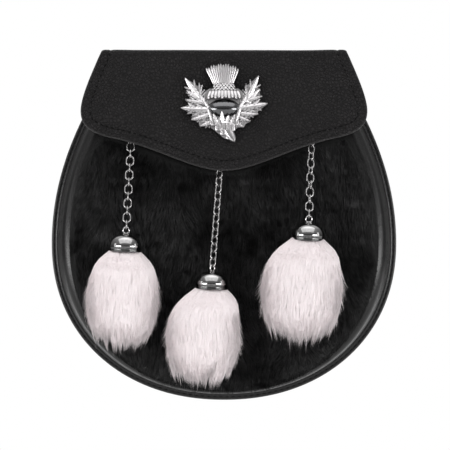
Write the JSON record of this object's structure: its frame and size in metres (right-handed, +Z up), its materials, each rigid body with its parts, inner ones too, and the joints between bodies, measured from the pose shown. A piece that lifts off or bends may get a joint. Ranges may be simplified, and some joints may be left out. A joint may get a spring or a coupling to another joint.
{
  "type": "sporran pouch",
  "caption": "Moulded leather sporran pouch with a fur front, a folded flap under a cast thistle badge, and fur tassels in bell caps hanging on short chains.",
  "frame": {"origin": "the middle of the wearer's strap, half way between the two belt loops and in the middle of their gap, where the pouch hangs", "axes": "+Z up as worn, -Y out of the fur front, +Y out of the back towards the wearer, +X to the viewer's right seen from the front"},
  "size_m": [0.19, 0.0718, 0.1925],
  "materials": {
    "flap_leather": "pebble-grained, matt with a soft sheen, one row of black lock stitch",
    "smooth_leather": "smooth, waxed and half glossy",
    "black_fur": "short glossy black fur, lying downwards in soft locks",
    "white_fur": "soft white fur with a faint warm shade in its depths",
    "badge_metal": "cast white metal, bright on its ridges and dark in its hollows",
    "chain_metal": "polished, dark where it reflects the fur"
  },
  "bodies": {
    "root": {"back_panel": "smooth_leather", "gusset": "smooth_leather", "front_panel": "smooth_leather", "fur_front": "black_fur", "flap": "flap_leather", "snap_stud": "chain_metal", "thistle_badge": "badge_metal", "belt_loop_left": "smooth_leather", "belt_loop_right": "smooth_leather", "chain_anchor_left": "chain_metal", "chain_left_link_01": "chain_metal", "chain_left_link_02": "chain_metal", "chain_left_link_03": "chain_metal", "chain_left_link_04": "chain_metal", "chain_left_link_05": "chain_metal", "chain_left_link_06": "chain_metal", "chain_left_link_07": "chain_metal", "chain_left_link_08": "chain_metal", "chain_left_link_09": "chain_metal", "chain_left_link_10": "chain_metal", "chain_left_link_11": "chain_metal", "chain_left_link_12": "chain_metal", "chain_left_link_13": "chain_metal", "cap_left": "chain_metal", "tassel_left": "white_fur", "chain_anchor_middle": "chain_metal", "chain_middle_link_01": "chain_metal", "chain_middle_link_02": "chain_metal", "chain_middle_link_03": "chain_metal", "chain_middle_link_04": "chain_metal", "chain_middle_link_05": "chain_metal", "chain_middle_link_06": "chain_metal", "chain_middle_link_07": "chain_metal", "chain_middle_link_08": "chain_metal", "chain_middle_link_09": "chain_metal", "chain_middle_link_10": "chain_metal", "chain_middle_link_11": "chain_metal", "chain_middle_link_12": "chain_metal", "chain_middle_link_13": "chain_metal", "chain_middle_link_14": "chain_metal", "cap_middle": "chain_metal", "tassel_middle": "white_fur", "chain_anchor_right": "chain_metal", "chain_right_link_01": "chain_metal", "chain_right_link_02": "chain_metal", "chain_right_link_03": "chain_metal", "chain_right_link_04": "chain_metal", "chain_right_link_05": "chain_metal", "chain_right_link_06": "chain_metal", "chain_right_link_07": "chain_metal", "chain_right_link_08": "chain_metal", "chain_right_link_09": "chain_metal", "chain_right_link_10": "chain_metal", "chain_right_link_11": "chain_metal", "cap_right": "chain_metal", "tassel_right": "white_fur"}
  },
  "joints": []
}
